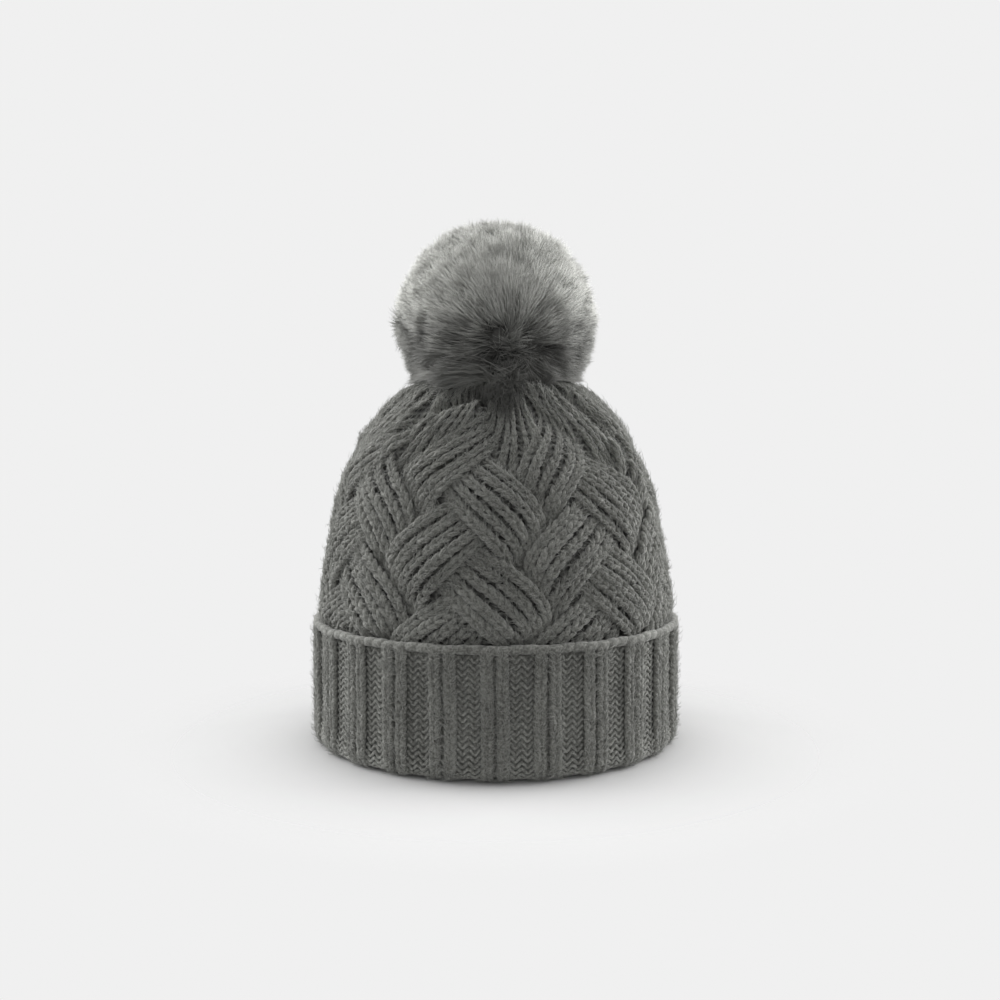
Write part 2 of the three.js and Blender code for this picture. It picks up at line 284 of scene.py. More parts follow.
def tuck_relief(angle, length):
    """Soft steps where the gathered crown folds over itself"""
    total = np.zeros(np.broadcast(angle, length).shape)
    degrees = np.degrees((angle + math.pi) % (2 * math.pi) - math.pi)
    for turns, lengths, lift, sink, wide, roll in CROWN_TUCKS:
        line = np.interp(degrees, turns, lengths) * MM
        slope = (lengths[-1] - lengths[0]) * MM / math.radians(turns[-1] - turns[0]) / TUCK_RADIUS
        off = (length - line) / math.hypot(1.0, slope)
        fade = (turns[-1] - turns[0]) * TUCK_FADE
        window = rise_and_fall(degrees, turns[0], turns[0] + fade, turns[-1] - fade, turns[-1])
        over = rise_and_fall(off, -17 * MM, -2.5 * MM, -1.8 * MM, 1.2 * MM)
        under = rise_and_fall(off, -1.2 * MM, 2.4 * MM, wide * MM, 2.1 * wide * MM)
        near_top = 1 + 0.7 * smooth_step(length, 100 * MM, 135 * MM)
        beyond = rise_and_fall(off, (wide + 1.5) * MM, (wide + 5) * MM, 11 * MM, 20 * MM)
        total = total + window * (lift * over - sink * under * near_top + roll * beyond) * MM
    sway = 0.5 * MM * np.sin(3 * angle + 1.1) * np.sin(length / (31 * MM) + 0.4)
    sway = sway + 0.35 * MM * np.sin(7 * angle - 0.6) * np.sin(length / (17 * MM) + 2.0)
    return total + sway * smooth_step(length, 8 * MM, 40 * MM)


def body_surface(knit):
    """The crests of the cabled body, with lengths counted from the cuff's edge"""
    rise = BODY_HIGH[2] - RIM_HIGH[2]
    tuck_radius = BAND_HIGH[0]
    foot = BODY_LOW[2] - knit.body_tail
    points = [(tuck_radius, foot), (tuck_radius, CUFF_HIGH[2]), (tuck_radius, RIM_HIGH[2])]
    points += [(knit.body_radius * a, RIM_HIGH[2] + rise * b) for a, b in BODY_PROFILE_SHARES]
    points.append((knit.crown_hole, RIM_HIGH[2] + rise * HOLE_RISE_SHARE))
    outline = through_points(points, OUTLINE_STEPS)
    return TurnedSurface(
        outline[:, 0], outline[:, 1], RIM_HIGH[2] - foot, relief=tuck_relief,
        drawn=knit.front_draw, span=DRAWN_LENGTHS, front=knit.front_turn,
    )


def cuff_surface():
    """From inside the band, round the fold and up the cuff's face; lengths count from the fold"""
    inner, outer = BAND_HIGH[0] - BAND_WALL, CUFF_HIGH[0]
    across = (outer - inner) / 2
    band_steps, fold_steps, face_steps = 40, 60, 60
    turn = np.linspace(math.pi, 2 * math.pi, fold_steps)
    radii = np.concatenate([
        np.full(band_steps, inner), inner + across * (1 + np.cos(turn)), np.full(face_steps, outer),
    ])
    heights = np.concatenate([
        np.linspace(BAND_HIGH[2], FOLD_RISE, band_steps, endpoint=False),
        FOLD_RISE * (1 + np.sin(turn)),
        np.linspace(FOLD_RISE, RIM_HIGH[2], face_steps + 1)[1:],
    ])
    walk = np.cumsum(np.hypot(np.diff(radii), np.diff(heights)))
    return TurnedSurface(radii, heights, walk[band_steps + fold_steps // 2 - 1])


def smooth_piece(name, made, look, body, slot, *nodes):
    """A closed, smooth-shaded mesh that rides on a body and stands for CAD nodes"""
    points, quads, triangles = made
    mesh = bpy.data.meshes.new(name)
    mesh.from_pydata(points.reshape(-1, 3).tolist(), [], [*quads.tolist(), *triangles.tolist()])
    mesh.polygons.foreach_set("use_smooth", np.ones(len(mesh.polygons), dtype=bool))
    mesh.update()
    mesh.materials.append(look)
    piece = bpy.data.objects.new(name, mesh)
    bpy.context.collection.objects.link(piece)
    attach(piece, body)
    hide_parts(*nodes)
    return piece


def unit(vectors):
    return vectors / np.maximum(np.linalg.norm(vectors, axis=-1, keepdims=True), 1e-12)


def around_quads(rows, columns):
    """Faces between neighbouring rows of points that run round a tube or ball"""
    row, column = np.meshgrid(np.arange(rows - 1), np.arange(columns), indexing="ij")
    row, column = row.ravel(), column.ravel()
    beside = (column + 1) % columns
    return np.stack([
        row * columns + column, (row + 1) * columns + column,
        (row + 1) * columns + beside, row * columns + beside,
    ], axis=-1)


def end_caps(rows, columns):
    """Faces from the first and last row to the two points that follow all rows"""
    column = np.arange(columns)
    beside = (column + 1) % columns
    first, base = rows * columns, (rows - 1) * columns
    return np.concatenate([
        np.stack([np.full(columns, first), column, beside], axis=-1),
        np.stack([np.full(columns, first + 1), base + beside, base + column], axis=-1),
    ])


def tubes(centres, normals, wide, thick, sides):
    """Closed tubes, rounded at both ends, through rows of ring centres"""
    tangent = unit(np.gradient(centres, axis=1))
    lateral = unit(np.cross(tangent, normals))
    upward = np.cross(lateral, tangent)
    count, rings = centres.shape[:2]
    theta = 2 * math.pi * np.arange(sides) / sides
    spread = (
        wide[:, :, None, None] * np.cos(theta)[None, None, :, None] * lateral[:, :, None, :]
        + thick[:, :, None, None] * np.sin(theta)[None, None, :, None] * upward[:, :, None, :]
    )
    walls = (centres[:, :, None, :] + spread).reshape(count, rings * sides, 3)
    start = centres[:, :1] - tangent[:, :1] * thick[:, :1, None] / 2
    end = centres[:, -1:] + tangent[:, -1:] * thick[:, -1:, None] / 2
    points = np.concatenate([walls, start, end], axis=1)
    shift = (np.arange(count) * points.shape[1])[:, None, None]
    return (
        points.reshape(-1, 3),
        (around_quads(rings, sides)[None] + shift).reshape(-1, 4),
        (end_caps(rings, sides)[None] + shift).reshape(-1, 3),
    )


def spikes(places, girth, draw):
    """Three-sided hairs through rows of places, pointed at the last one"""
    centres = places[:, :-1]
    normals = np.broadcast_to(unit(draw.normal(size=(len(places), 1, 3))), centres.shape)
    points, quads, caps = tubes(centres, normals, girth, girth, 3)
    points = points.reshape(len(places), -1, 3)
    points[:, -1] = places[:, -1]
    return points.reshape(-1, 3), quads, caps


def shell(surface, lengths, outer, inner, columns, rib=None):
    """A closed shell between two heights over a surface"""
    angle = 2 * math.pi * np.arange(columns) / columns
    rows = []
    for length in lengths:
        height = outer if rib is None else outer + rib(angle, length)
        rows.append(surface.place(angle, np.full(columns, length), height + 0 * angle)[0])
    for length in reversed(lengths):
        rows.append(surface.place(angle, np.full(columns, length), inner + 0 * angle)[0])
    points = np.concatenate(rows)
    quads = around_quads(len(rows) + 1, columns)[:, [0, 3, 2, 1]] % len(points)
    return points, quads, np.zeros((0, 3), dtype=int)


# Rings and sides of a leg, its length in stitches, its girth as a share of the wale's width, and how
# far out it stands at its foot and how much further at its head
LEG_RINGS = 5
LEG_SIDES = 6
LEG_REACH = 1.6
LEG_GIRTH = 0.218
LEG_FAN = (0.06, 0.24)


def wale_legs(surface, path, pitch, lift, draw):
    """Ring places and girths of the two legs of each V stitch along one wale"""
    angle, length, height, width = path
    across = np.gradient(angle) * surface.radius(length)
    along = np.gradient(length)
    step = np.hypot(across, along)
    run = np.concatenate([[0.0], np.cumsum((step[1:] + step[:-1]) / 2)])
    sine, cosine = across / step, along / step
    share_done = np.linspace(0, 1, LEG_RINGS)
    reach = pitch * LEG_REACH
    count = max(1, int(round((run[-1] - reach) / pitch)))
    start = np.linspace(0, run[-1] - reach, count) + draw.normal(size=count) * 0.05 * pitch
    places, girths = [], []
    for side in (-1, 1):
        at = np.clip(start[:, None] + reach * share_done[None, :], 0, run[-1])
        wide = np.interp(at, run, width)
        fan = LEG_FAN[0] + LEG_FAN[1] * smooth_step(share_done, 0.0, 0.9)
        spread = side * wide * (fan + draw.normal(size=(count, 1)) * 0.014)
        radius = surface.radius(np.interp(at, run, length))
        rise = np.sin(math.pi * share_done**0.85) - 0.6 - 0.45 * share_done**2
        places.append(np.stack([
            np.interp(at, run, angle) + spread * np.interp(at, run, cosine) / radius,
            np.interp(at, run, length) - spread * np.interp(at, run, sine),
            np.interp(at, run, height) + lift * rise + draw.normal(size=(count, 1)) * 0.14 * MM,
        ], axis=-1))
        girths.append(wide.mean(axis=1) * LEG_GIRTH * (1 + 0.09 * draw.normal(size=count)))
    return np.concatenate(places), np.concatenate(girths)


def all_legs(surface, paths, pitch, lift, draw):
    """Legs and girths of the wales along several paths, knitted one after another"""
    legs, girths = zip(*(wale_legs(surface, path, pitch, lift, draw) for path in paths))
    return np.concatenate(legs), np.concatenate(girths)


def leg_tubes(surface, legs, girths):
    """Tubes for the legs; girths give each leg's widest radius"""
    centres, normals = surface.place(legs[..., 0], legs[..., 1], legs[..., 2])
    share_done = np.linspace(0, 1, LEG_RINGS)
    fullness = 0.6 + 0.4 * np.sin(math.pi * np.clip(share_done * 1.08, 0, 1)) ** 0.7
    wide = girths[:, None] * fullness[None, :]
    return tubes(centres, normals, wide, wide * 0.96, LEG_SIDES)


def loose_fibres(surface, legs, girths, count, seed):
    """Fine fibres that leave the yarn and lie over it, a few of them standing off"""
    draw = np.random.default_rng(seed)
    pick = draw.integers(len(legs), size=count)
    ring = draw.integers(1, LEG_RINGS - 1, size=count)
    base, ahead = legs[pick, ring], legs[pick, ring + 1]
    radius = surface.radius(base[:, 1])
    run = np.stack([(ahead[:, 0] - base[:, 0]) * radius, ahead[:, 1] - base[:, 1]], axis=-1)
    heading = np.arctan2(run[:, 1], run[:, 0]) + draw.normal(size=count) * 0.75
    reach = (2.4 + 3.6 * draw.random(count)) * MM
    bow = draw.normal(size=count) * 0.22 * reach
    rise = np.where(draw.random(count) < 0.16, 2.4, 0.75) * MM * (0.3 + draw.random(count))
    done = np.array([0.0, 0.5, 1.0])
    forth = reach[:, None] * done
    aside = bow[:, None] * done**2
    cosine, sine = np.cos(heading)[:, None], np.sin(heading)[:, None]
    start = draw.uniform(-0.8, 0.8, size=count)
    height = base[:, 2] + girths[pick] * (1 - 0.45 * start**2)
    aside = aside + (start * girths[pick])[:, None]
    angle = base[:, :1] + (cosine * forth - sine * aside) / radius[:, None]
    length = base[:, 1:2] + sine * forth + cosine * aside
    lifted = height[:, None] - 0.15 * MM + rise[:, None] * np.sin(math.pi * 0.62 * done)
    places, _ = surface.place(angle, length, lifted)
    places[..., 2] = np.maximum(places[..., 2], 0.2 * MM)
    girth = np.broadcast_to(np.array([0.1, 0.09]) * MM, (count, 2))
    return spikes(places, girth, draw)


def wale_widths(surface, knit, angle, length, gather=1.0):
    """Widths of a body wale, which narrows up the crown and where the wales are drawn together"""
    scale = surface.radius(length) / knit.body_radius
    width = knit.wale_width * scale * gather * np.clip(surface.spacing(angle, length), *DRAWN_WIDTHS)
    return np.maximum(width, THINNEST_WALE)


# A cable band counts from -1 to 1 between two crossings: where its ends lie hidden, where the last
# ones end on the crown, how far its strands spread in the middle and how much less at the ends
BAND_END = 1.25
CROWN_END = 3.4
BAND_SPREAD = 1.06
BAND_PINCH = 0.32
BAND_RISE = 0.435


def band_strand(surface, knit, family, column, row, strand, on_top):
    """Path of one strand of a cable band across the diamond where it lies on top"""
    turn = 2 * math.pi / knit.cable_repeats
    edge = strand / (knit.strands - 1) * 2 - 1
    offset = edge * (knit.strands - 1) / 2
    done = np.linspace(-BAND_END, CROWN_END, 90) if on_top else np.linspace(-BAND_END, BAND_END, 49)
    gather = BAND_SPREAD - BAND_PINCH * np.clip(done / BAND_END, -1, 1) ** 2
    if on_top:
        even = knit.body_radius * turn / (2 * knit.strands * knit.strand_shift)
        gather = gather + (even - BAND_SPREAD + BAND_PINCH) * smooth_step(done, 0.95, 2.3)
    middle = knit.first_cable + row * knit.cable_row
    drop = family * offset * knit.strand_drop * np.clip(gather, 0, BAND_SPREAD)
    length = middle - drop * (1 - smooth_step(done, 1.2, 2.6)) + done * BAND_RISE * knit.cable_row
    scale = surface.radius(length) / knit.body_radius
    bend = np.clip(done, -1, 1)
    arch = knit.arch * (bend**2 - 1 / 3) * (1 - smooth_step(done, 1.0, 2.0))
    sweep = 1.2 * bend - 0.2 * bend**3 + arch + 0.3 * np.clip(np.abs(done) - 1, 0, 0.3) * np.sign(done)
    quarter = knit.body_radius * turn / 4
    sideways = (family * sweep * quarter + offset * knit.strand_shift * gather) * scale
    angle = column * turn + sideways / surface.radius(length) + knit.turn
    hump = 1 - 1.05 * np.abs(np.clip(done, -1.3, 1.3)) ** 2.6
    height = -4.55 * MM + knit.cable_depth * hump - 0.7 * MM * edge**2
    height = np.maximum(height, -GROUND_DEPTH)
    if on_top:
        height = np.maximum(height, -6.5 * MM + 4.2 * MM * smooth_step(done, 0.6, 1.5))
    width = wale_widths(surface, knit, angle, length, np.where(done > 1, np.minimum(gather, 1.0), 1.0))
    keep = (length > -6 * MM) & (length < surface.lengths[-1] - CROWN_MARGIN)
    return angle[keep], length[keep], height[keep], width[keep]


def strayed(surface, path, draw):
    """A strand's path as a hand would find it, a little off its even course, height and width"""
    angle, length, height, width = path
    sway = 0.7 * MM * np.sin(length / (11 * MM) + draw.uniform(0, 6.3)) + 0.3 * MM * draw.normal()
    heave = 0.4 * MM * np.sin(length / (8 * MM) + draw.uniform(0, 6.3)) + 0.2 * MM * draw.normal()
    return angle + sway / surface.radius(length), length, height + heave, width * (1 + 0.06 * draw.normal())


def band_paths(surface, knit, family, rows, draw):
    """Paths of some rows of the bands that rise (1) or fall (-1) to the right"""
    for row in rows:
        for repeat in range(knit.cable_repeats):
            column = repeat + (0.5 if family > 0 else 0.0)
            for strand in range(knit.strands):
                path = band_strand(surface, knit, family, column, row, strand, row > 1)
                if len(path[0]) >= 8:
                    yield strayed(surface, path, draw)


def crown_paths(surface, knit, draw):
    """The falling bands' wales, which run up between the last rising ones to the crown's hole"""
    turn = 2 * math.pi / knit.cable_repeats
    foot = knit.first_cable + 1.3 * knit.cable_row
    length = np.linspace(foot, surface.lengths[-1] - CROWN_MARGIN, 60)
    rise = smooth_step(length, length[0] + 4 * MM, length[0] + 24 * MM)
    reach = (knit.strands - 1) / (4 * knit.strands)
    for repeat in range(knit.cable_repeats):
        for strand in range(knit.strands):
            edge = strand / (knit.strands - 1) * 2 - 1
            angle = (repeat + 0.25) * turn + edge * turn * reach + knit.turn - 0.03 * (1 - rise)
            height = -5.0 * MM + 2.8 * MM * rise
            width = wale_widths(surface, knit, angle, length)
            yield strayed(surface, (angle, length, height, width), draw)


def group_tree(name, inputs, outputs):
    """An empty shader node group with named sockets"""
    tree = bpy.data.node_groups.new(name, "ShaderNodeTree")
    for label, kind, value in inputs:
        socket = tree.interface.new_socket(label, in_out="INPUT", socket_type=kind)
        socket.default_value = value
    for label, kind in outputs:
        tree.interface.new_socket(label, in_out="OUTPUT", socket_type=kind)
    return tree, tree.nodes.new("NodeGroupInput"), tree.nodes.new("NodeGroupOutput")


def feed(tree, made, sources):
    """Link or set a node's inputs, each given by its name or number"""
    for label, source in sources.items():
        if isinstance(source, bpy.types.NodeSocket):
            tree.links.new(source, made.inputs[label])
        else:
            made.inputs[label].default_value = source


def node(tree, kind, *sources, **values):
    """A node with its settings, whose first inputs come from the sources"""
    made = tree.nodes.new(kind)
    for key, value in values.items():
        setattr(made, key, value)
    feed(tree, made, dict(enumerate(sources)))
    return made


def maths(tree, operation, *sources, **values):
    return node(tree, "ShaderNodeMath", *sources, operation=operation, **values).outputs[0]


def vector_maths(tree, operation, *sources):
    made = node(tree, "ShaderNodeVectorMath", *sources, operation=operation)
    single = operation in ("DISTANCE", "DOT_PRODUCT", "LENGTH")
    return made.outputs["Value" if single else "Vector"]


def object_place(tree):
    return node(tree, "ShaderNodeTexCoord").outputs["Object"]


def noise(tree, vector, scale, detail):
    made = node(tree, "ShaderNodeTexNoise")
    feed(tree, made, {"Vector": vector, "Scale": scale, "Detail": detail})
    return made.outputs["Fac"]


def mapped(tree, value, low, high, to_low=0.0, to_high=1.0):
    made = node(tree, "ShaderNodeMapRange", value, low, high, to_low, to_high)
    return made.outputs["Result"]


def mixed(tree, factor, first, second):
    made = node(tree, "ShaderNodeMix", data_type="RGBA")
    feed(tree, made, {"Factor": factor, 6: first, 7: second})
    return made.outputs[2]


def heather_group():
    """Flecks of pale and dark fibre, and a fine fibre height"""
    known = bpy.data.node_groups.get("Heathered fibre")
    if known:
        return known
    tree, given, out = group_tree(
        "Heathered fibre",
        [("Main", "NodeSocketColor", (0.1, 0.1, 0.1, 1)), ("Pale", "NodeSocketColor", (0.2, 0.2, 0.2, 1)),
         ("Fleck Scale", "NodeSocketFloat", 900.0)],
        [("Colour", "NodeSocketColor"), ("Fibre", "NodeSocketFloat")],
    )
    where = object_place(tree)
    fleck = mapped(tree, noise(tree, where, given.outputs["Fleck Scale"], 3.0), 0.4, 0.72)
    patch = mapped(tree, noise(tree, where, 45.0, 2.0), 0.3, 0.7, 0.0, 0.35)
    paleness = maths(tree, "ADD", fleck, patch)
    feed(tree, out, {
        "Colour": mixed(tree, paleness, given.outputs["Main"], given.outputs["Pale"]),
        "Fibre": noise(tree, where, 2600.0, 3.0),
    })
    return tree


def bumped(tree, height, strength, distance):
    made = node(tree, "ShaderNodeBump")
    feed(tree, made, {"Strength": strength, "Distance": distance, "Height": height})
    return made


def bare_material(name):
    look = bpy.data.materials.new(name)
    look.use_nodes = True
    return look, look.node_tree, look.node_tree.nodes["Principled BSDF"]


# Finishes of yarn and cloth: main colour, pale colour and how many times as bright it is taken,
# roughness, sheen, strength of the fibres' bump, and how fine the flecks are
FINISHES = {
    "Grey wool yarn": ("wool", "wool_light", 1.0, 0.95, 0.25, 0.35, 900.0),
    "Grey wool ground": ("wool", "wool_light", 1.0, 0.95, 0.25, 0.35, 900.0),
    "Loose wool fibre": ("fuzz", "wool_light", 1.0, 1.0, 0.4, 0.0, 900.0),
    "Twisted tie thread": ("thread", "thread", 1.6, 0.7, 0.1, 0.2, 900.0),
    "Satin button": ("button", "button", 1.5, 0.38, 0.0, 0.04, 300.0),
    "Backing cloth": ("backing", "wool", 1.0, 0.95, 0.1, 0.3, 900.0),
    "Fibre filling": ("filling", "filling", 1.0, 1.0, 0.3, 0.6, 900.0),
}


def scaled(tint, times):
    """A colour made darker or paler, and still opaque"""
    return (*(min(1.0, times * value) for value in tint[:3]), 1.0)


def finish(name):
    """Matt yarn or cloth with flecks and a fibrous bump"""
    known = bpy.data.materials.get(name)
    if known:
        return known
    colours = bpy.context.scene.beanie_colours
    main, pale, times, roughness, sheen, bump, fleck = FINISHES[name]
    look, tree, shader = bare_material(name)
    fibre = node(tree, "ShaderNodeGroup", node_tree=heather_group())
    pale = scaled(getattr(colours, pale), times)
    feed(tree, fibre, {"Main": tuple(getattr(colours, main)), "Pale": pale, "Fleck Scale": fleck})
    feed(tree, shader, {
        "Base Color": fibre.outputs["Colour"], "Roughness": roughness, "Specular IOR Level": 0.15,
        "Sheen Weight": sheen, "Sheen Roughness": 0.6,
        "Normal": bumped(tree, fibre.outputs["Fibre"], bump, 0.4 * MM).outputs["Normal"],
    })
    return look


def ground_material():
    """The wrong side of the knit, with rows of small bumps round the cap's axis and painted shade in the
    hollows between them
    """
    known = bpy.data.materials.get("Grey wool ground")
    if known:
        return known
    knit, colours = bpy.context.scene.beanie_knit, bpy.context.scene.beanie_colours
    look = finish("Grey wool ground")
    tree = look.node_tree
    parts = node(tree, "ShaderNodeSeparateXYZ", object_place(tree)).outputs
    turn = maths(tree, "ARCTAN2", parts["X"], parts["Y"])
    column = wave(tree, turn, STITCHES_PER_RIB * knit.rib_count)
    offset = maths(tree, "MULTIPLY_ADD", column, 0.2 * knit.rib_row, parts["Z"])
    row = wave(tree, offset, 2 * math.pi / knit.rib_row)
    loops = maths(tree, "ADD", column, row)
    raised = bumped(tree, loops, 0.9, 0.7 * MM)
    fibre_bump = next(item for item in tree.nodes if item.type == "BUMP" and item != raised)
    feed(tree, fibre_bump, {"Normal": raised.outputs["Normal"]})
    shader = tree.nodes["Principled BSDF"]
    painted = shader.inputs["Base Color"].links[0].from_socket
    # Painted shade: the hollows between the bumped loops are darkened to under half the yarn's colour
    between = mapped(tree, loops, -1.4, 0.2)
    feed(tree, shader, {"Base Color": mixed(tree, between, scaled(colours.wool, 0.45), painted)})
    return look


def wave(tree, value, turns):
    """The cosine of a value times its turns"""
    return maths(tree, "COSINE", maths(tree, "MULTIPLY", value, turns))


# Where the fur falls apart, as a way from the pom's middle
FUR_PARTING = (0.2, -1.0, -0.42)

# Reaches between which dark roots turn into pale tips, painting shade deep in the pile and light on the tips,
# and heights over the middle between which the lower side's painted shade ends and the top is painted paler
FUR_REACHES = (37 * MM, 51.5 * MM)
FUR_SHADOW = (-38 * MM, 22 * MM)
FUR_PAINTED_TOP_LIGHT = (-5 * MM, 34 * MM)
STREAK_STRETCH = (14.0, 14.0, 14.0)


def parted_streaks(tree, where):
    """Noise drawn out along the lines that run away from the fur's parting"""
    parting = unit(np.array(FUR_PARTING))
    side = unit(np.cross(parting, (0.0, 0.0, 1.0)))
    from_middle = vector_maths(tree, "SUBTRACT", where, (0.0, 0.0, pom_middle()))
    across = (side, np.cross(side, parting))
    flat = [vector_maths(tree, "DOT_PRODUCT", from_middle, tuple(way)) for way in across]
    round_parting = vector_maths(tree, "NORMALIZE", node(tree, "ShaderNodeCombineXYZ", *flat).outputs[0])
    drawn = vector_maths(tree, "MULTIPLY_ADD", from_middle, STREAK_STRETCH, round_parting)
    return noise(tree, drawn, 5.5, 3.5), from_middle


def fur_material():
    """Pile from dark roots to pale tips by its distance from the pom's middle, with painted shade deep in the
    pile and on the lower side and painted light on the tips and the top
    """
    known = bpy.data.materials.get("Grey faux fur")
    if known:
        return known
    colours = bpy.context.scene.beanie_colours
    middle = pom_middle()
    look, tree, shader = bare_material("Grey faux fur")
    where = object_place(tree)
    reach = vector_maths(tree, "DISTANCE", where, (0.0, 0.0, middle))
    # Painted shade and light: dark near the roots, pale at the tips
    paleness = maths(tree, "POWER", mapped(tree, reach, *FUR_REACHES), 1.25)
    streaks, from_middle = parted_streaks(tree, where)
    streak = mapped(tree, streaks, 0.32, 0.66, 0.5, 1.15)
    up = node(tree, "ShaderNodeSeparateXYZ", where).outputs["Z"]
    # Painted shadow: the fur is darkened towards the pom's lower side
    upper = mapped(tree, up, *(middle + height for height in FUR_SHADOW), 0.22, 1.0)
    shade = maths(tree, "MULTIPLY", paleness, maths(tree, "MULTIPLY", streak, upper))
    # Painted light: the fur is made paler over the pom's top
    painted_top_light = mapped(tree, up, *(middle + height for height in FUR_PAINTED_TOP_LIGHT), 0.0, 0.85)
    filled = maths(tree, "ADD", shade, painted_top_light, use_clamp=True)
    ball = node(
        tree, "ShaderNodeVectorTransform", from_middle,
        vector_type="NORMAL", convert_from="OBJECT", convert_to="WORLD",
    )
    soft = node(tree, "ShaderNodeMix", 0.6, data_type="VECTOR")
    hair_normal = node(tree, "ShaderNodeNewGeometry").outputs["Normal"]
    feed(tree, soft, {4: hair_normal, 5: ball.outputs[0]})
    feed(tree, shader, {
        "Base Color": mixed(tree, filled, tuple(colours.fur_root), tuple(colours.fur_tip)),
        "Normal": vector_maths(tree, "NORMALIZE", soft.outputs[1]),
        "Roughness": 0.75, "Specular IOR Level": 0.25, "Sheen Weight": 0.2,
    })
    return look


def pom_middle():
    return FUR_HIGH[2] - (FUR_HIGH[0] - FUR_LOW[0]) / 2


def stitched(name, fuzz_name, surface, wales, fibres, seed, slot, cad_node):
    """The stitches of some wales and, as a piece of its own, the loose fibres over them"""
    smooth_piece(name, leg_tubes(surface, *wales), finish("Grey wool yarn"), "cap", slot, cad_node)
    loose = loose_fibres(surface, *wales, fibres, seed)
    smooth_piece(fuzz_name, loose, finish("Loose wool fibre"), "cap", slot, cad_node)


def body_stitches(name, surface, knit, paths, draw, fibres, seed):
    wales = all_legs(surface, paths, knit.cable_pitch, STITCH_ARCH, draw)
    stitched(name, name + "_fuzz", surface, wales, fibres, seed, "knit_wool", "cable_knit_body")


class BEANIE_OT_ground(bpy.types.Operator):
    """Make the knit ground that lies behind the raised stitches of the body"""

    bl_idname = "beanie.ground"
    bl_label = "Knit ground"

    def execute(self, context):
        knit = context.scene.beanie_knit
        surface = body_surface(knit)
        lengths = np.linspace(surface.lengths[0], surface.lengths[-1] - 0.2 * MM, 90)
        made = shell(surface, lengths, -GROUND_DEPTH, -GROUND_BACK, SHELL_COLUMNS)
        smooth_piece("body_ground", made, ground_material(), "cap", "knit_wool", "cable_knit_body")
        return {"FINISHED"}


class BEANIE_OT_cables(bpy.types.Operator):
    """Knit the woven cable bands of the body"""

    bl_idname = "beanie.cables"
    bl_label = "Cable bands"

    def execute(self, context):
        knit = context.scene.beanie_knit
        surface = body_surface(knit)
        for name, family, rows, fibres, seed in (
            ("cables_rising", 1, (-0.5, 0.5), 10000, 11), ("cables_falling", -1, (0.0, 1.0), 14000, 12),
            ("cables_to_crown", 1, (1.5,), 11000, 14),
        ):
            draw = np.random.default_rng(seed)
            paths = band_paths(surface, knit, family, rows, draw)
            body_stitches(name, surface, knit, paths, draw, fibres, seed + 10)
        return {"FINISHED"}


class BEANIE_OT_crown(bpy.types.Operator):
    """Knit the wales that gather at the top of the crown"""

    bl_idname = "beanie.crown"
    bl_label = "Gathered crown"

    def execute(self, context):
        knit = context.scene.beanie_knit
        surface = body_surface(knit)
        draw = np.random.default_rng(13)
        body_stitches("crown_wales", surface, knit, crown_paths(surface, knit, draw), draw, 6500, 23)
        return {"FINISHED"}


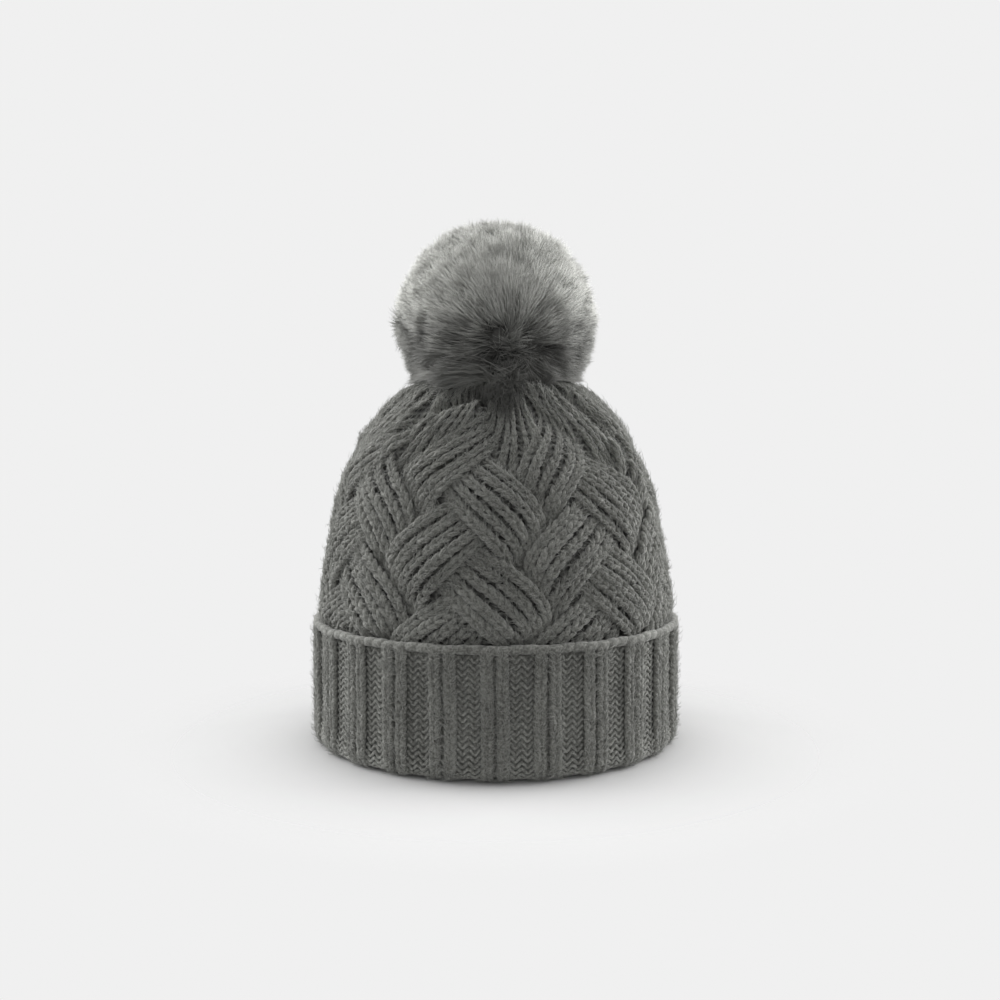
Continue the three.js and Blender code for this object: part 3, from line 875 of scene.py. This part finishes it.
class BEANIE_OT_cuff(bpy.types.Operator):
    """Knit the turned-up two-by-two rib, its fold and its cast-on edge"""

    bl_idname = "beanie.cuff"
    bl_label = "Ribbed cuff"

    def execute(self, context):
        knit = context.scene.beanie_knit
        surface = cuff_surface()
        lengths = np.linspace(-26 * MM, surface.lengths[-1] - 2 * MM, 70)

        def fold(angle, length):
            return 1.9 * MM * np.exp(-((length / (7 * MM)) ** 2)) + 0 * angle

        ground = shell(surface, lengths, -4.2 * MM, -4.75 * MM, SHELL_COLUMNS, fold)
        smooth_piece("cuff_ground", ground, finish("Grey wool yarn"), "cap", "rib_wool", "turned_up_cuff")
        self.knit_ribs(surface, knit)
        self.purl_columns(surface, knit)
        self.cast_on(surface, knit)
        return {"FINISHED"}

    def knit_ribs(self, surface, knit):
        draw = np.random.default_rng(14)
        paths = self.rib_paths(surface, knit, draw)
        wales = all_legs(surface, paths, knit.rib_row, 0.45 * MM, draw)
        stitched("cuff_knit_ribs", "cuff_fuzz", surface, wales, 16000, 24, "rib_wool", "turned_up_cuff")

    def rib_paths(self, surface, knit, draw):
        """Two wales for each rib, from behind the fold to the cast-on edge"""
        length = np.linspace(-22 * MM, surface.lengths[-1] - 1.5 * MM, 90)
        height = np.full(len(length), -1.85 * MM)
        width = np.full(len(length), knit.rib_wale * 0.93)
        for rib in range(knit.rib_count):
            for side in (-0.5, 0.5):
                stray = 0.25 * MM * np.sin(length / (11 * MM) + draw.uniform(0, 6.3))
                aside = (side * knit.rib_wale + stray) / surface.radius(length)
                yield rib * (2 * math.pi / knit.rib_count) + aside, length, height, width

    def purl_columns(self, surface, knit):
        rib_turn = 2 * math.pi / knit.rib_count
        half = rib_turn / 2 - knit.rib_wale / CUFF_HIGH[0]
        done = np.linspace(-1, 1, 19)[None, :]
        rows = np.arange(-20 * MM, surface.lengths[-1] - 4.5 * MM, knit.rib_row)[:, None]
        depth = knit.trough_depth * (0.45 + 0.55 * smooth_step(rows, 4 * MM, 20 * MM))
        wave = np.cos(2 * math.pi * done)
        length = rows + 0.42 * knit.rib_row * wave
        height = -1.0 * MM - depth + 0.4 * MM * np.abs(wave)
        columns = []
        for trough in range(knit.rib_count):
            angle = (trough + 0.5) * rib_turn + done * half * 1.15 + 0 * rows
            columns.append(surface.place(angle, length, height))
        centres, normals = (np.concatenate(part) for part in zip(*columns))
        wide = np.full(centres.shape[:2], 0.85 * MM)
        made = tubes(centres, normals, wide, wide, PLY_SIDES)
        smooth_piece("cuff_purl_columns", made, finish("Grey wool yarn"), "cap", "rib_wool", "turned_up_cuff")

    def cast_on(self, surface, knit):
        rib_turn = 2 * math.pi / knit.rib_count
        count = knit.rib_count * STITCHES_PER_RIB
        step = 2 * math.pi / count
        middle = (np.arange(count) + 0.5)[:, None] * step
        done = np.linspace(-1, 1, 9)[None, :]
        trough = 0.5 - 0.5 * np.cos(middle / rib_turn * 2 * math.pi)
        angle = middle + done * step * 0.85
        length = surface.lengths[-1] - 2.5 * MM + 0.5 * MM * trough + 0.45 * MM * done
        height = -2.1 * MM - 0.6 * MM * trough - 0.95 * MM * done**2
        centres, normals = surface.place(angle, length + 0 * angle, height + 0 * angle)
        wide = 2.3 * MM * (1 - 0.4 * done**2) + 0 * angle
        made = tubes(centres, normals, wide, wide, 9)
        smooth_piece("cast_on_rim", made, finish("Grey wool yarn"), "cap", "rib_wool", "cast_on_edge")


class BEANIE_OT_band(bpy.types.Operator):
    """Make the ribbed band that lies on the head, behind the cuff"""

    bl_idname = "beanie.band"
    bl_label = "Inner band"

    def execute(self, context):
        knit = context.scene.beanie_knit
        surface = cuff_surface()
        lengths = np.linspace(surface.lengths[0], -18 * MM, 24)

        def rib(angle, length):
            return -2.0 * MM * smooth_step(-np.cos(angle * knit.rib_count), -0.5, 0.5)

        made = shell(surface, lengths, 0.0, -3.0 * MM, 2 * SHELL_COLUMNS, rib)
        smooth_piece("inner_band", made, ground_material(), "cap", "rib_wool", "inner_rib_band")
        return {"FINISHED"}


def plied(route, radius, plies, twist):
    """Twisted plies along a route"""
    tangent = unit(np.gradient(route, axis=0))
    aside = unit(np.cross(tangent, np.array([0.31, 0.17, 0.93])))
    other = np.cross(tangent, aside)
    run = np.concatenate([[0.0], np.cumsum(np.linalg.norm(np.diff(route, axis=0), axis=1))])
    centres = []
    for ply in range(plies):
        phase = 2 * math.pi * (run / twist + ply / plies)
        round_route = np.cos(phase)[:, None] * aside + np.sin(phase)[:, None] * other
        centres.append(route + radius / 2 * round_route)
    centres = np.stack(centres)
    normals = np.broadcast_to(aside, centres.shape)
    wide = np.full(centres.shape[:2], radius * 0.52)
    return tubes(centres, normals, wide, wide, PLY_SIDES)


def yarn_ring(low, high, twist):
    """Two plies that run round the ring in a box"""
    radius = (high[2] - low[2]) / 2
    turn = 2 * math.pi * np.arange(RING_STEPS + 1) / RING_STEPS
    reach = high[0] - radius
    level = np.full(RING_STEPS + 1, (low[2] + high[2]) / 2)
    return plied(np.stack([reach * np.cos(turn), reach * np.sin(turn), level], -1), radius, 2, twist)


class BEANIE_OT_tie(bpy.types.Operator):
    """Make the crown's gather yarn, the tie with its knots, and finish the anchor button"""

    bl_idname = "beanie.tie"
    bl_label = "Tie and button"

    def execute(self, context):
        thread = finish("Twisted tie thread")
        yarn = yarn_ring(YARN_LOW, YARN_HIGH, 4 * MM)
        smooth_piece("gather_yarn", yarn, finish("Grey wool yarn"), "cap", "gather_yarn", "crown_gather_yarn")
        for name in ("tie_strand_left", "tie_strand_right"):
            low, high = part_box(name)
            middle = (low[0] + high[0]) / 2
            rise = np.linspace(low[2], high[2], 24)
            route = np.stack([np.full(24, middle), np.zeros(24), rise], -1)
            made = plied(route, (high[0] - low[0]) / 2, 3, 3 * MM)
            smooth_piece(name + "_plies", made, thread, "tie", "tie_thread", name)
        self.knot("lower_knot", "lower_tie_knot", "tie", LOWER_KNOT_LOW, LOWER_KNOT_HIGH, thread)
        self.knot("upper_knot", "upper_tie_knot", "pom_knot", KNOT_LOW, KNOT_HIGH, thread)
        for item in bpy.context.scene.objects:
            if item.get("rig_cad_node") == "anchor_button":
                item.data.materials.clear()
                item.data.materials.append(finish("Satin button"))
        return {"FINISHED"}

    def knot(self, name, cad_node, body, low, high, thread):
        reach = (high[0] - low[0]) / 2
        half = (high[2] - low[2]) / 2
        middle = (high[2] + low[2]) / 2
        cord = min(reach, half) * 0.36
        wraps = 5
        turn = np.linspace(0, 2 * math.pi * wraps, 220)
        tilt = turn / wraps
        ring = reach - cord
        lift = half - cord
        route = np.stack([
            ring * np.cos(turn) * np.sqrt(1 - 0.6 * np.sin(tilt / 2) ** 2),
            ring * np.sin(turn) * np.sqrt(1 - 0.6 * np.cos(tilt / 2) ** 2),
            middle + lift * np.sin(turn * 0.8 + 0.4),
        ], -1)
        smooth_piece(name, plied(route, cord, 2, 3 * MM), thread, body, "tie_thread", cad_node)


def even_directions(count):
    """Directions spread evenly over a ball"""
    index = np.arange(count) + 0.5
    up = 1 - 2 * index / count
    turn = math.pi * (1 + 5**0.5) * index
    flat = np.sqrt(1 - up**2)
    return np.stack([flat * np.cos(turn), flat * np.sin(turn), up], -1)


def lumpy_ball(middle, radius, lump, waves, rows, columns, hole, flatten=1.0):
    """A closed ball with soft lumps and a drawn-in foot"""
    polar = np.linspace(0, math.pi - hole, rows)
    turn = 2 * math.pi * np.arange(columns) / columns
    polar, turn = np.meshgrid(polar, turn, indexing="ij")
    bump = np.sin(waves * turn) * np.sin(polar) + 0.6 * np.sin(1.7 * waves * polar + 2 * turn)
    reach = radius * (1 + lump * bump * np.sin(polar))
    points = np.stack([
        reach * np.sin(polar) * np.cos(turn), reach * np.sin(polar) * np.sin(turn),
        middle + flatten * reach * np.cos(polar),
    ], -1)
    walls = points[1:].reshape(-1, 3)
    ends = np.array([points[0, 0], [0.0, 0.0, points[-1, :, 2].mean()]])
    return np.concatenate([walls, ends]), around_quads(rows - 1, columns), end_caps(rows - 1, columns)


# The lowest direction of a hair, the share of the fur's radius that hairs lie out to on the crown,
# and how far the underfur comes down past the middle of the knot it tilts on
LOWEST_HAIR = -0.94
BRIM_SHARE = 0.88
UNDERFUR_SINK = 1.5 * MM


class BEANIE_OT_pom(bpy.types.Operator):
    """Grow the fur pom on its stuffed core"""

    bl_idname = "beanie.pom"
    bl_label = "Fur pom"

    def execute(self, context):
        pom = context.scene.beanie_pom
        knit = context.scene.beanie_knit
        middle = pom_middle()
        fur = fur_material()
        core_radius = (CORE_HIGH[0] - CORE_LOW[0]) / 2
        ball = lumpy_ball(middle, core_radius, lump=0.012, waves=9, rows=28, columns=48, hole=0.2)
        backing = finish("Backing cloth")
        core = smooth_piece("pom_core", ball, backing, "pom", "backing_cloth", "pom_backing")
        fill_radius = (FILLING_HIGH[0] - FILLING_LOW[0]) / 2
        ball = lumpy_ball(middle, fill_radius * 0.96, lump=0.02, waves=6, rows=20, columns=32, hole=0.55)
        filling = finish("Fibre filling")
        stuffing = smooth_piece("pom_stuffing", ball, filling, "pom", "pom_filling", "pom_filling")
        thread = yarn_ring(THREAD_LOW, THREAD_HIGH, 3 * MM)
        look = finish("Twisted tie thread")
        smooth_piece("gather_thread", thread, look, "pom", "tie_thread", "pom_gather_thread")
        # The underfur lies near the roots, so it takes the fur's painted dark root shade
        made = lumpy_ball(
            middle, pom.underfur, lump=0.02, waves=11, rows=48, columns=96, hole=0.35, flatten=0.97,
        )
        made[0][:, 2] = np.maximum(made[0][:, 2], PIVOT_HEIGHT - UNDERFUR_SINK)
        smooth_piece("pom_underfur", made, fur, "pom", "grey_fur", "pom_fur")
        for piece in range(pom.tuft_pieces):
            made = self.hairs(pom, knit, middle, piece)
            smooth_piece(f"pom_pile_{piece + 1}", made, fur, "pom", "grey_fur", "pom_fur")
        return {"FINISHED"}

    def hairs(self, pom, knit, middle, piece):
        """One piece of the pile: hairs that lean into their locks and away from the parting"""
        draw = np.random.default_rng(1700 + piece)
        reach = (FUR_HIGH[0] - FUR_LOW[0]) / 2
        direction = unit(draw.normal(size=(pom.hairs, 3)))
        direction = direction[direction[:, 2] > LOWEST_HAIR]
        count = len(direction)
        uneven = np.random.default_rng(5).normal(size=(pom.locks, 3)) * 0.035
        locks = unit(even_directions(pom.locks) + uneven)
        nearest = np.argmax(direction @ locks.T, axis=1)
        lock_draw = np.random.default_rng(6)
        lock_lean = lock_draw.normal(size=(pom.locks, 3)) * 0.085
        lock_reach = lock_draw.normal(size=pom.locks) * 0.02
        to_lock = locks[nearest]
        closeness = np.linalg.norm(direction - to_lock, axis=1)
        parting = unit(np.array(FUR_PARTING))
        opened = smooth_step(direction @ parting, -0.1, 0.6)[:, None]
        loosened = 1.15 - 0.75 * smooth_step(direction[:, 2:3], -0.1, 0.7)
        drawing = pom.drawing * (0.3 + 0.7 * opened) * loosened
        tip_way = direction * (1 - drawing) + to_lock * drawing + lock_lean[nearest]
        tip_way = unit(tip_way + draw.normal(size=(count, 3)) * 0.075)
        near = unit(parting + lock_lean[nearest] * 2.2)
        away = direction - (direction * near).sum(axis=1)[:, None] * near
        spread = np.linalg.norm(away, axis=1, keepdims=True)
        lean = pom.sweep * (0.35 + 0.65 * smooth_step(direction @ parting, -0.2, 0.5))[:, None]
        tip_way = unit(tip_way + lean * away / np.maximum(spread, 1e-6) * smooth_step(spread, 0.0, 0.32))
        tip_reach = reach * (1.0 + lock_reach[nearest] - 0.2 * closeness + draw.normal(size=count) * 0.018)
        root = direction * pom.pile_root
        tip = tip_way * tip_reach[:, None]
        bow = unit(direction + to_lock) * (pom.pile_root * 0.4 + tip_reach * 0.6)[:, None]
        rows = np.stack([
            (1 - done) ** 2 * root + 2 * done * (1 - done) * bow + done**2 * tip
            for done in (0.0, 0.5, 0.86, 1.0)
        ], axis=1)
        rows[..., 2] += middle
        rows = self.rest_on_crown(rows, pom, knit, draw)
        widths = np.array([1.0, 0.85, 0.45]) * (0.75 + 0.5 * draw.random((count, 1)))
        return spikes(rows, pom.hair_width / 2 * widths, draw)

    def rest_on_crown(self, rows, pom, knit, draw):
        """Hairs that reach the crown bend outwards and lie on it, furthest at the front"""
        surface = body_surface(knit)
        surface.drawn = 0.0
        above_rim = slice(int(np.argmax(surface.heights)), 3 * OUTLINE_STEPS, -1)
        radii, rises = surface.radii[above_rim], surface.heights[above_rim]
        lengths = surface.lengths[above_rim]
        flat = np.linalg.norm(rows[..., :2], axis=-1)
        angle = np.arctan2(rows[..., 0], -rows[..., 1])
        degrees = np.degrees(angle)
        front = smooth_step(degrees, -80, 4) ** 1.5 * (1 - smooth_step(degrees, 6, 28))
        front = front * (0.75 + 0.25 * np.sin(11 * angle + 0.8)) + 0.12 * np.abs(np.sin(7 * angle))
        spring = draw.random((len(rows), 1)) ** 0.8
        sunk = np.maximum(0.0, np.interp(flat, radii, rises) + 0.3 * MM - rows[..., 2])
        over = (0.35 + 0.5 * spring + 2.2 * front) * sunk
        brim = FUR_HIGH[0] * BRIM_SHARE + pom.overhang * front * (0.2 + 0.85 * spring)
        grown = np.maximum(flat, np.minimum(flat + over, brim))
        lift = 0.4 * MM + (0.1 + 0.6 * (1 - spring)) * sunk
        laid, _ = surface.place(angle, np.interp(grown, radii, lengths), lift)
        return np.where(sunk[..., None] > 0, laid, rows)


# Light from all round on the hat, greys of the floor before and behind it (the back painted darker to
# even out the lamps' stronger light there), and how far from the middle the floor appears and fades out
WORLD_LIGHT = 0.38
FLOOR_FRONT = (0.66, 0.66, 0.66, 1.0)
FLOOR_BACK = (0.47, 0.47, 0.47, 1.0)
FLOOR_CLEARING = (0.07, 0.08)
FLOOR_FADE = (0.1, 0.2)
FLOOR_LEVEL = -0.5 * MM

# Name, place, point faced, width and height, and power of each lamp
LAMPS = (
    ("lamp_top", (0.0, 0.34, 1.1), (0.0, 0.0, 0.15), (1.1, 1.1), 11.0),
    ("lamp_right", (0.95, 0.3, 0.4), (0.0, 0.0, 0.12), (0.8, 0.9), 14.0),
    ("lamp_left", (-0.95, 0.3, 0.4), (0.0, 0.0, 0.12), (0.8, 0.9), 14.0),
    ("lamp_front", (0.1, -1.4, 0.55), (0.0, 0.0, 0.1), (0.9, 0.6), 2.6),
)


class BEANIE_OT_stage(bpy.types.Operator):
    """Set the floor, the soft studio light and the camera"""

    bl_idname = "beanie.stage"
    bl_label = "Stage"

    def execute(self, context):
        self.camera(context.scene, context.scene.beanie_stage)
        self.floor()
        self.world(context.scene, context.scene.beanie_colours)
        for lamp in LAMPS:
            self.lamp(*lamp)
        context.scene.view_settings.view_transform = "Standard"
        return {"FINISHED"}

    def camera(self, scene, stage):
        data = bpy.data.cameras.new("photo_camera")
        data.lens = stage.lens
        data.sensor_width = 36.0
        camera = bpy.data.objects.new("photo_camera", data)
        camera.location = (stage.camera_right, -stage.camera_distance, stage.camera_height)
        camera.rotation_euler = (math.pi / 2 - stage.pitch, 0.0, 0.0)
        scene.collection.objects.link(camera)
        scene.camera = camera

    def lamp(self, name, place, target, spread, power):
        data = bpy.data.lights.new(name, "AREA")
        data.shape = "RECTANGLE"
        data.size, data.size_y = spread
        data.energy = power
        lamp = bpy.data.objects.new(name, data)
        lamp.location = place
        away = [a - b for a, b in zip(target, place)]
        lamp.rotation_euler = Vector(away).to_track_quat("-Z", "Y").to_euler()
        bpy.context.collection.objects.link(lamp)

    def world(self, scene, colours):
        world = bpy.data.worlds.new("Studio")
        world.use_nodes = True
        scene.world = world
        tree = world.node_tree
        path = node(tree, "ShaderNodeLightPath").outputs
        seen = maths(tree, "MAXIMUM", path["Is Camera Ray"], path["Is Glossy Ray"])
        feed(tree, tree.nodes["Background"], {
            "Color": tuple(colours.backdrop),
            "Strength": mapped(tree, seen, 0.0, 1.0, WORLD_LIGHT, 1.0),
        })

    def floor(self):
        columns, reaches = 64, np.linspace(0.15, 1.6, 6)
        turn = 2 * math.pi * np.arange(columns) / columns
        level = np.full(columns, FLOOR_LEVEL)
        rings = [np.stack([reach * np.cos(turn), reach * np.sin(turn), level], -1) for reach in reaches]
        points = np.concatenate([np.zeros((1, 3)), *rings])
        faces = [(0, 1 + c, 1 + (c + 1) % columns) for c in range(columns)]
        faces += (1 + around_quads(len(reaches), columns)).tolist()
        mesh = bpy.data.meshes.new("floor")
        mesh.from_pydata(points.tolist(), [], faces)
        mesh.update()
        look, tree, shader = bare_material("Pale floor")
        where = object_place(tree)
        depth = node(tree, "ShaderNodeSeparateXYZ", where).outputs["Y"]
        # Painted shade: the floor is darker towards the back, where the lamps light it more, so it reads
        # evenly bright
        near_back = mapped(tree, depth, -0.1, 0.1)
        feed(tree, shader, {
            "Base Color": mixed(tree, near_back, FLOOR_FRONT, FLOOR_BACK),
            "Roughness": 0.9, "Specular IOR Level": 0.0,
        })
        reach = vector_maths(tree, "LENGTH", where)
        outer = mapped(tree, reach, *FLOOR_FADE, 1.0, 0.0)
        inner = mapped(tree, reach, *FLOOR_CLEARING)
        from_below = node(tree, "ShaderNodeNewGeometry").outputs["Backfacing"]
        shown = maths(tree, "SUBTRACT", maths(tree, "MULTIPLY", outer, inner), from_below, use_clamp=True)
        clear = node(tree, "ShaderNodeBsdfTransparent").outputs[0]
        blend = node(tree, "ShaderNodeMixShader", shown, clear, shader.outputs[0])
        feed(tree, tree.nodes["Material Output"], {"Surface": blend.outputs[0]})
        mesh.materials.append(look)
        floor = bpy.data.objects.new("floor", mesh)
        bpy.context.collection.objects.link(floor)


class BEANIE_PT_panel(bpy.types.Panel):
    """Lists the beanie's pieces and their sizes"""

    bl_idname = "BEANIE_PT_panel"
    bl_label = "Pom pom beanie"
    bl_space_type = "VIEW_3D"
    bl_region_type = "UI"
    bl_category = "Beanie"

    def draw(self, context):
        for maker in OPERATORS:
            self.layout.operator(maker.bl_idname)
        for label in ("beanie_knit", "beanie_pom", "beanie_colours", "beanie_stage"):
            group = getattr(context.scene, label)
            box = self.layout.box()
            for key in group.__annotations__:
                box.prop(group, key)


OPERATORS = (
    BEANIE_OT_stage, BEANIE_OT_ground, BEANIE_OT_cables, BEANIE_OT_crown, BEANIE_OT_cuff,
    BEANIE_OT_band, BEANIE_OT_tie, BEANIE_OT_pom,
)
GROUPS = {
    "beanie_knit": BeanieKnitSizes,
    "beanie_pom": BeaniePomSizes,
    "beanie_colours": BeanieColours,
    "beanie_stage": BeanieStageSizes,
}


def register():
    for item in (*GROUPS.values(), *OPERATORS, BEANIE_PT_panel):
        bpy.utils.register_class(item)
    for label, group in GROUPS.items():
        setattr(bpy.types.Scene, label, bpy.props.PointerProperty(type=group))


def unregister():
    for label in GROUPS:
        delattr(bpy.types.Scene, label)
    for item in reversed((*GROUPS.values(), *OPERATORS, BEANIE_PT_panel)):
        bpy.utils.unregister_class(item)


def main():
    register()
    for maker in OPERATORS:
        group, name = maker.bl_idname.split(".")
        getattr(getattr(bpy.ops, group), name)()
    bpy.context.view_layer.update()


if __name__ == "__main__":
    main()
